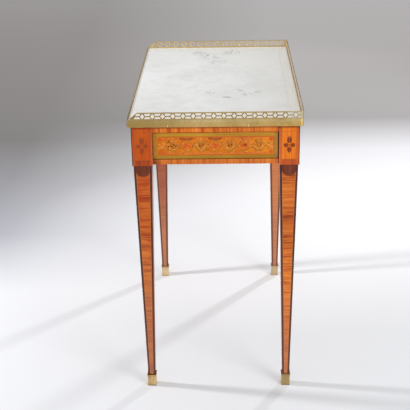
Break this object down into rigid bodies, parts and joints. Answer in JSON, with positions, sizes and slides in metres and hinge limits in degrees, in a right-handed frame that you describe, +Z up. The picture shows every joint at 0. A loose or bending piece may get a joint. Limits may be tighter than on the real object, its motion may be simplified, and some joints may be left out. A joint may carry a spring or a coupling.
{
  "type": "writing table",
  "caption": "Small writing table on square tapered legs, with a marble top in a brass band, a pierced gallery open to the sitter and a marquetry drawer in its right-hand end.",
  "frame": {"origin": "on the floor under the middle of the table", "axes": "+Z up; +Y along the table's length, with the drawer end facing -Y; +X from the sitter's side to the back"},
  "size_m": [0.4202, 0.7202, 0.7575],
  "materials": {
    "tulipwood_legs": "french polished veneer",
    "tulipwood_rails": "french polished veneer",
    "amaranth_stringing": "french polished inlay",
    "olive_banding": "french polished banding",
    "marquetry_ground": "french polished marquetry",
    "brass": "old polished brass",
    "white_marble": "polished",
    "steel_screws": "plain",
    "oak_drawer": "planed and waxed",
    "pine_inside": "planed"
  },
  "bodies": {
    "table": {"apron_back": "tulipwood_rails", "apron_front": "tulipwood_rails", "apron_left": "tulipwood_rails", "band_back": "brass", "band_corners": "brass", "band_front": "brass", "band_left": "brass", "band_pins": "brass", "band_right": "brass", "drawer_rail_bottom": "tulipwood_rails", "drawer_rail_top": "tulipwood_rails", "drawer_stop_back": "pine_inside", "drawer_stop_front": "pine_inside", "frame_back": "olive_banding", "frame_front": "olive_banding", "frame_left": "olive_banding", "gallery_back": "brass", "gallery_corners": "brass", "gallery_left": "brass", "gallery_right": "brass", "glue_blocks": "pine_inside", "guide_back": "pine_inside", "guide_front": "pine_inside", "kicker_back": "pine_inside", "kicker_front": "pine_inside", "leg_back_left": "tulipwood_legs", "leg_back_right": "tulipwood_legs", "leg_front_left": "tulipwood_legs", "leg_front_right": "tulipwood_legs", "marble_top": "white_marble", "marquetry_back": "marquetry_ground", "marquetry_front": "marquetry_ground", "marquetry_left": "marquetry_ground", "runner_back": "pine_inside", "runner_front": "pine_inside", "shoe_back_left": "brass", "shoe_back_right": "brass", "shoe_front_left": "brass", "shoe_front_right": "brass", "stringing_back_left": "amaranth_stringing", "stringing_back_right": "amaranth_stringing", "stringing_front_left": "amaranth_stringing", "stringing_front_right": "amaranth_stringing", "top_bearer": "pine_inside", "top_board": "pine_inside", "top_screws": "steel_screws"},
    "drawer": {"drawer_back": "oak_drawer", "drawer_bottom": "oak_drawer", "drawer_frame": "olive_banding", "drawer_front": "oak_drawer", "drawer_marquetry": "marquetry_ground", "drawer_side_back": "oak_drawer", "drawer_side_front": "oak_drawer"}
  },
  "joints": [
    {"name": "drawer_slide", "type": "slide", "parent": "table", "child": "drawer", "axis": [0, -1, 0], "range_m": [0, 0.34]}
  ]
}
